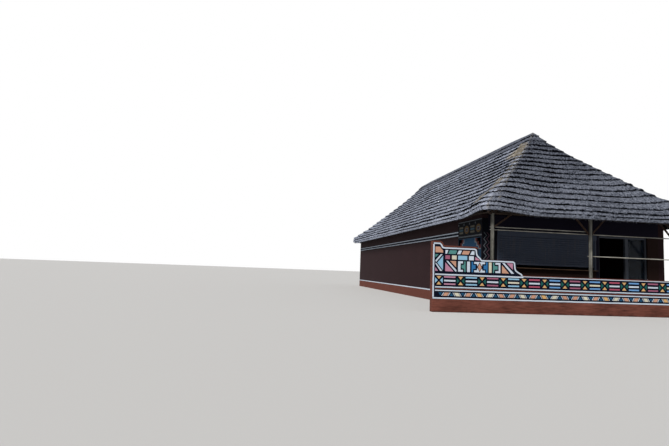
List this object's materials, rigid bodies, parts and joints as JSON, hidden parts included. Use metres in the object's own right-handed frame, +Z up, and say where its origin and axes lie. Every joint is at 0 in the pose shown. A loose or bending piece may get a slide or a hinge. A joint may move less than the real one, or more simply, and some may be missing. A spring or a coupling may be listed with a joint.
{
  "type": "thatched hut",
  "caption": "Thatched hut with a hipped, bell-cast roof on painted masonry walls, a pole stoep with a shuttered hatch, and a stepped low garden wall in front.",
  "frame": {"origin": "ground level at the centre of the eaves in plan, on the underside of the hall floor", "axes": "+X to the right along the front, +Y to the back along the ridge, +Z up; the front faces -Y"},
  "size_m": [9.8, 22, 7.162],
  "materials": {
    "thatch": "weathered grey grass thatch in stepped courses",
    "ridge_mortar": "weathered ridge capping",
    "roof_pole": "round treated poles, dull",
    "peeled_pole": "weathered peeled poles, silver grey",
    "painted_plaster": "matt painted plaster with geometric bands",
    "red_brown_plaster": "matt red-brown painted plaster",
    "screed": "trowelled cement floor",
    "white_metal": "painted roller shutter, satin",
    "grey_metal": "painted frame, satin",
    "window_glass": "clear pane",
    "dark_wood": "oiled board"
  },
  "bodies": {
    "root": {"hall_floor": "screed", "stoep_floor": "screed", "wall_left": "painted_plaster", "wall_right": "painted_plaster", "wall_back": "painted_plaster", "front_wall_left_pier": "painted_plaster", "front_wall_under_hatch": "painted_plaster", "front_wall_middle_pier": "painted_plaster", "front_wall_right_pier": "painted_plaster", "front_wall_head": "painted_plaster", "shutter_curtain": "white_metal", "shutter_box": "white_metal", "shutter_guides": "white_metal", "counter_shelf": "dark_wood", "entrance_frame": "grey_metal", "side_light_glass": "window_glass", "garden_wall_plinth": "red_brown_plaster", "garden_wall_steps": "painted_plaster", "garden_wall_low": "painted_plaster", "garden_wall_coping": "red_brown_plaster", "post_left": "peeled_pole", "post_middle": "peeled_pole", "post_right": "peeled_pole", "knee_braces": "peeled_pole", "display_rails": "peeled_pole", "plate_front": "roof_pole", "plate_left": "roof_pole", "plate_right": "roof_pole", "plate_back": "roof_pole", "tie_beams": "roof_pole", "king_posts": "roof_pole", "ridge_pole": "roof_pole", "hip_rafters": "roof_pole", "rafters_front": "roof_pole", "rafters_back": "roof_pole", "rafters_left": "roof_pole", "rafters_right": "roof_pole", "eave_sprockets": "roof_pole", "thatch_battens": "roof_pole", "thatch_front": "thatch", "thatch_back": "thatch", "thatch_left": "thatch", "thatch_right": "thatch", "ridge_cap": "ridge_mortar"}
  },
  "joints": []
}
